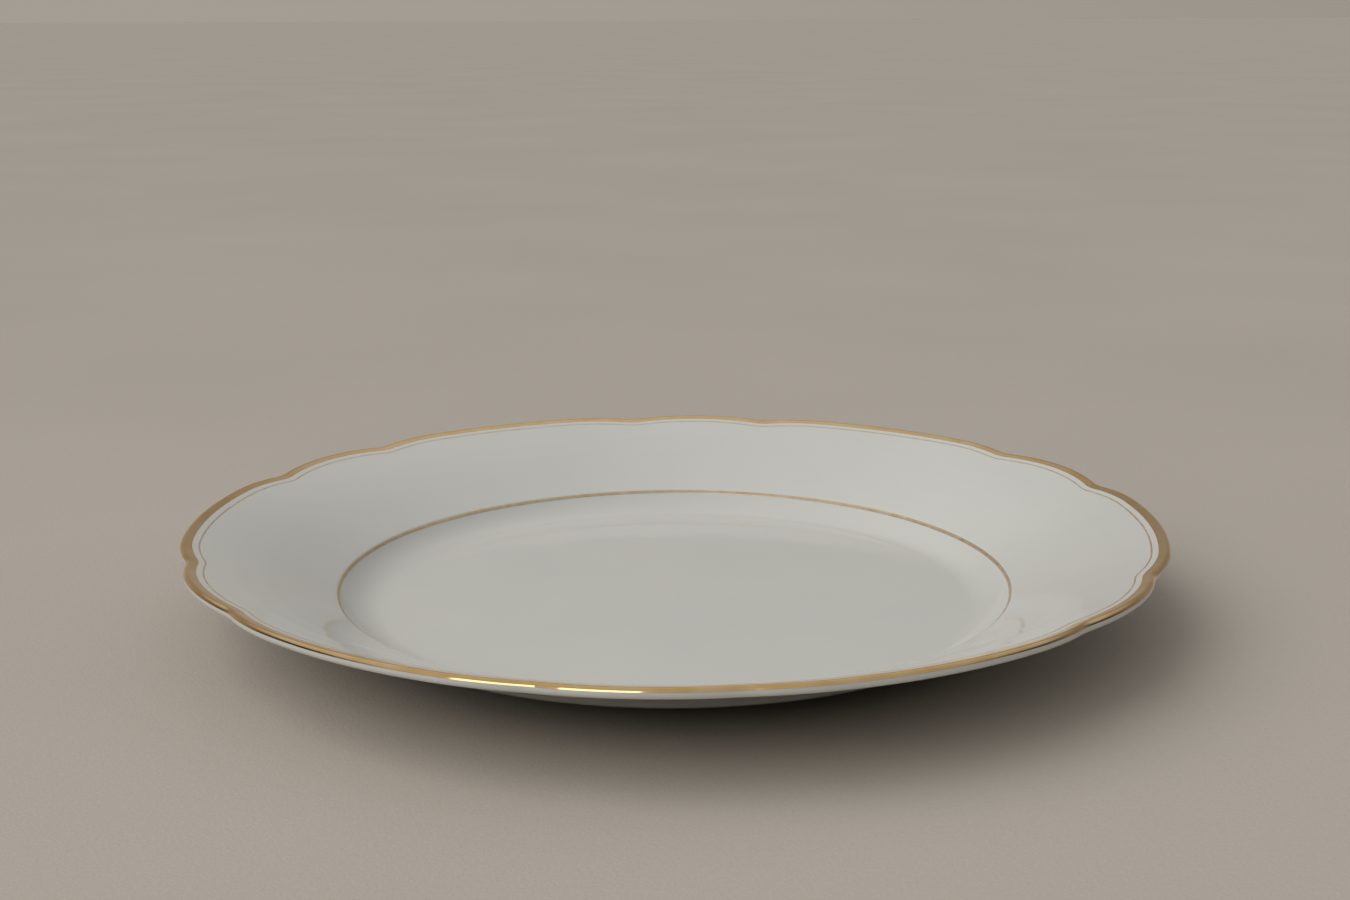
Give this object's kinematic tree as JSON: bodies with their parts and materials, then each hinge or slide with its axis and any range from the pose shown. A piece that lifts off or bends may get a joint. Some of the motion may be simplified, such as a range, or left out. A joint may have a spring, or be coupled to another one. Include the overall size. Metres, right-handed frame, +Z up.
{
  "type": "dinner plate",
  "caption": "Round porcelain dinner plate with a scalloped gilt rim, a wide sloping border, a shallow well for food and a low foot ring to stand on.",
  "frame": {"origin": "middle of the table surface under the plate: the bare foot ring stands on Z = 0", "axes": "+Z up out of the well; one narrow lobe of the rim points along -Y, towards the diner; +X to the diner's right"},
  "size_m": [0.2509, 0.2512, 0.0248],
  "materials": {
    "porcelain": "unglazed fired porcelain, fine matt grain",
    "glaze": "glossy clear glaze, cool white",
    "gilding": "satin burnished gold, fired on"
  },
  "bodies": {
    "root": {"porcelain_body": "porcelain", "glaze_coat": "glaze", "base_glaze": "glaze", "edge_gilding": "gilding", "rim_hairline": "gilding", "verge_line": "gilding"}
  },
  "joints": []
}
